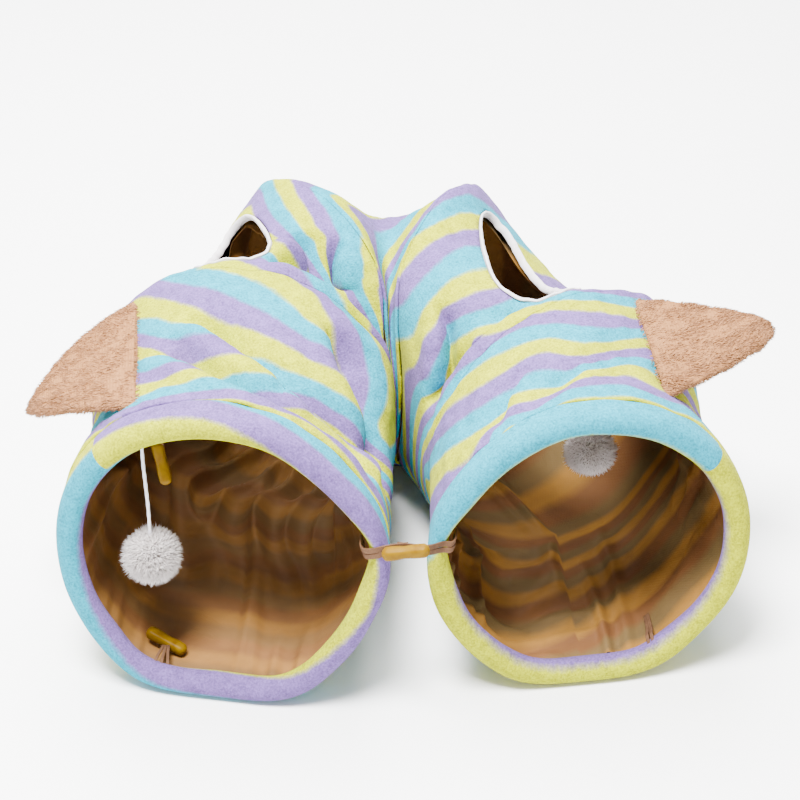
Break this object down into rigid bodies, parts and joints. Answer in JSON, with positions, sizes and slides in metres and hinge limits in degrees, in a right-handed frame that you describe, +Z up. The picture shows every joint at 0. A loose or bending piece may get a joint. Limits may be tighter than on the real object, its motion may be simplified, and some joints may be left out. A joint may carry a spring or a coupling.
{
  "type": "cat tunnel",
  "caption": "Soft striped plush cat tunnel on round hoops, bent into a U with both mouths to one side, with ears, bound peepholes and hanging pompoms.",
  "frame": {"origin": "on the floor at the middle of the object's box", "axes": "+X to the right seen from the mouths, +Y from the mouths back to the bend, +Z up"},
  "size_m": [0.551, 0.4539, 0.2432],
  "materials": {
    "striped_plush": "short soft plush in pale yellow, lilac and pale blue stripes",
    "band_plush": "short soft plush, stripes along the band",
    "lining_cloth": "thin brown woven cloth, light shows through",
    "binding_tape": "white woven tape",
    "ear_fur": "beige soft fur",
    "toggle_bar": "ochre moulded bar",
    "ribbon": "brown woven ribbon",
    "cord": "pale round cord",
    "pompom_yarn": "fluffy off-white yarn"
  },
  "bodies": {
    "root": {"cover_front_left": "striped_plush", "cover_peephole_left": "striped_plush", "cover_back": "striped_plush", "cover_peephole_right": "striped_plush", "cover_front_right": "striped_plush", "lining": "lining_cloth", "mouth_band_left": "band_plush", "mouth_band_right": "band_plush", "binding_left": "binding_tape", "binding_right": "binding_tape", "ear_left": "ear_fur", "ear_right": "ear_fur", "toggle_tie": "toggle_bar", "tab_tie": "ribbon", "loop_tie": "ribbon", "toggle_upper": "toggle_bar", "tab_upper": "ribbon", "toggle_lower": "toggle_bar", "tab_lower": "ribbon", "loop_upper": "ribbon", "loop_lower": "ribbon", "cord_left": "cord", "pompom_left": "pompom_yarn", "cord_right": "cord", "pompom_right": "pompom_yarn"}
  },
  "joints": []
}
